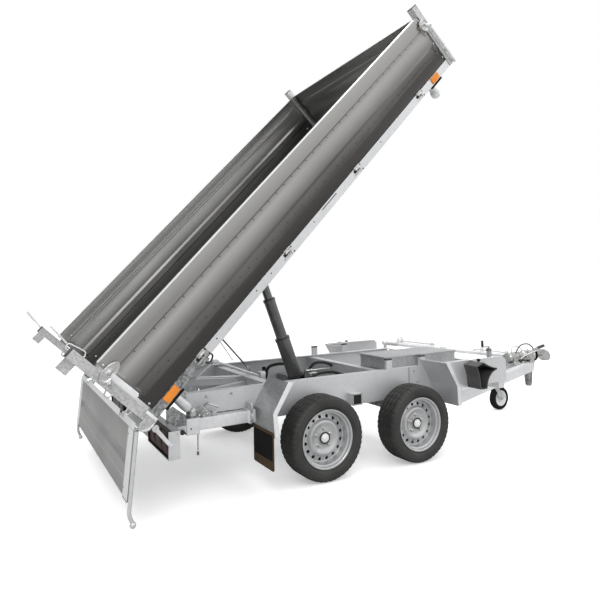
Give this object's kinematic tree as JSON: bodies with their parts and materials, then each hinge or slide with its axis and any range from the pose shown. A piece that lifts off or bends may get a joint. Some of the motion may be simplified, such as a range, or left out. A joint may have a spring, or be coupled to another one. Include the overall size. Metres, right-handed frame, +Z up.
{
  "type": "three-way tipping trailer",
  "caption": "Tandem-axle tipping trailer with a raised ribbed bed, drop sides, hanging tailgate, telescopic lift cylinder, V drawbar, overrun coupling and jockey wheel.",
  "frame": {"origin": "centre of the bounding box on the ground plane", "axes": "+X forwards to the coupling, +Y to the left side, +Z up"},
  "size_m": [4.7817, 1.88, 3.1413],
  "materials": {
    "galvanised": "galvanised",
    "galvanised_bright": "galvanised",
    "sheet_wall": "satin",
    "zinc_hardware": "zinc plated",
    "rim_silver": "satin",
    "tyre": "matte",
    "rubber": "matte",
    "black_paint": "gloss",
    "black_plastic": "matte",
    "red_lens": "gloss"
  },
  "bodies": {
    "chassis": {"axle_front": "galvanised", "axle_rear": "galvanised", "ball_carrier_left": "galvanised_bright", "ball_carrier_right": "galvanised_bright", "coupling_head": "zinc_hardware", "crossmember_front": "galvanised", "crossmember_nose": "galvanised", "crossmember_rear": "galvanised", "cylinder_cradle": "galvanised", "drawbar_arm_left": "galvanised_bright", "drawbar_arm_right": "galvanised_bright", "front_mudguard_left": "galvanised_bright", "front_mudguard_right": "galvanised_bright", "handbrake_lever": "zinc_hardware", "jockey_stem": "zinc_hardware", "lamp_bar": "galvanised", "mud_flap_left": "rubber", "mud_flap_right": "rubber", "overrun_bellows": "rubber", "overrun_housing": "zinc_hardware", "pump_box": "galvanised", "rail_left": "galvanised", "rail_right": "galvanised", "rear_mudguard_left": "galvanised", "rear_mudguard_right": "galvanised", "stowed_bar": "galvanised_bright", "tail_lamp_left": "red_lens", "tail_lamp_right": "red_lens", "wheel_chock_left": "black_plastic", "wheel_chock_right": "black_plastic"},
    "bed": {"bed_subframe": "galvanised", "bed_floor": "galvanised", "rear_sill": "galvanised_bright", "front_wall": "sheet_wall", "bed_rail_right": "galvanised_bright", "rear_post_right": "galvanised_bright", "front_post_right": "galvanised_bright", "bed_rail_left": "galvanised_bright", "rear_post_left": "galvanised_bright", "front_post_left": "galvanised_bright"},
    "side_wall_right": {"side_wall_right": "sheet_wall"},
    "side_wall_left": {"side_wall_left": "sheet_wall"},
    "tailgate": {"tailgate": "galvanised"},
    "cylinder_barrel": {"cylinder_barrel": "black_paint"},
    "cylinder_stage_1": {"cylinder_stage_1": "black_paint"},
    "cylinder_stage_2": {"cylinder_stage_2": "black_paint"},
    "cylinder_stage_3": {"cylinder_stage_3": "black_paint"},
    "wheel_rear_right": {"tyre_rear_right": "tyre", "rim_rear_right": "rim_silver"},
    "wheel_rear_left": {"tyre_rear_left": "tyre", "rim_rear_left": "rim_silver"},
    "wheel_front_right": {"tyre_front_right": "tyre", "rim_front_right": "rim_silver"},
    "wheel_front_left": {"tyre_front_left": "tyre", "rim_front_left": "rim_silver"},
    "jockey_swivel": {"jockey_fork": "zinc_hardware"},
    "jockey_wheel": {"jockey_wheel": "rubber"}
  },
  "joints": [
    {"name": "bed_tip", "type": "hinge", "parent": "chassis", "child": "bed", "pos_m": [-1.6274, 0, 0.48597], "axis": [0, 1, 0], "range_deg": [0, 46.3]},
    {"name": "side_wall_right_drop", "type": "hinge", "parent": "bed", "child": "side_wall_right", "pos_m": [-0.92645, -0.925, 1.70007], "axis": [0.6748, 0, 0.738], "range_deg": [0, 165]},
    {"name": "side_wall_left_drop", "type": "hinge", "parent": "bed", "child": "side_wall_left", "pos_m": [-0.92645, 0.925, 1.70007], "axis": [-0.6748, 0, -0.738], "range_deg": [0, 165]},
    {"name": "tailgate_swing", "type": "hinge", "parent": "bed", "child": "tailgate", "pos_m": [-2.00738, 0, 0.51499], "axis": [0, 1, 0], "range_deg": [0, 128.1]},
    {"name": "cylinder_lean", "type": "hinge", "parent": "chassis", "child": "cylinder_barrel", "pos_m": [-0.52018, 0, 0.26056], "axis": [0, 1, 0], "range_deg": [0, 27.4]},
    {"name": "stage_1_slide", "type": "slide", "parent": "cylinder_barrel", "child": "cylinder_stage_1", "axis": [0.3611, 0, -0.9325], "range_m": [0, 0.2832]},
    {"name": "stage_2_slide", "type": "slide", "parent": "cylinder_stage_1", "child": "cylinder_stage_2", "axis": [0.3611, 0, -0.9325], "range_m": [0, 0.2832]},
    {"name": "stage_3_slide", "type": "slide", "parent": "cylinder_stage_2", "child": "cylinder_stage_3", "axis": [0.3611, 0, -0.9325], "range_m": [0, 0.2832]},
    {"name": "wheel_rear_right_spin", "type": "hinge", "parent": "chassis", "child": "wheel_rear_right", "pos_m": [-0.8132, 0, 0.2625], "axis": [0, 1, 0], "continuous": true},
    {"name": "wheel_rear_left_spin", "type": "hinge", "parent": "chassis", "child": "wheel_rear_left", "pos_m": [-0.8132, 0, 0.2625], "axis": [0, 1, 0], "continuous": true},
    {"name": "wheel_front_right_spin", "type": "hinge", "parent": "chassis", "child": "wheel_front_right", "pos_m": [-0.0512, 0, 0.2625], "axis": [0, 1, 0], "continuous": true},
    {"name": "wheel_front_left_spin", "type": "hinge", "parent": "chassis", "child": "wheel_front_left", "pos_m": [-0.0512, 0, 0.2625], "axis": [0, 1, 0], "continuous": true},
    {"name": "jockey_turn", "type": "hinge", "parent": "chassis", "child": "jockey_swivel", "pos_m": [1.66729, 0.13, 0.2], "axis": [0, 0, 1], "continuous": true},
    {"name": "jockey_spin", "type": "hinge", "parent": "jockey_swivel", "child": "jockey_wheel", "pos_m": [1.79229, 0.13, 0.115], "axis": [0, 1, 0], "continuous": true}
  ],
  "couplings": [
    {"joint": "cylinder_lean", "follows": "bed_tip", "ratio": 0.5914},
    {"joint": "stage_1_slide", "follows": "bed_tip", "m_per_rad": 0.3502},
    {"joint": "stage_2_slide", "follows": "bed_tip", "m_per_rad": 0.3502},
    {"joint": "stage_3_slide", "follows": "bed_tip", "m_per_rad": 0.3502}
  ]
}
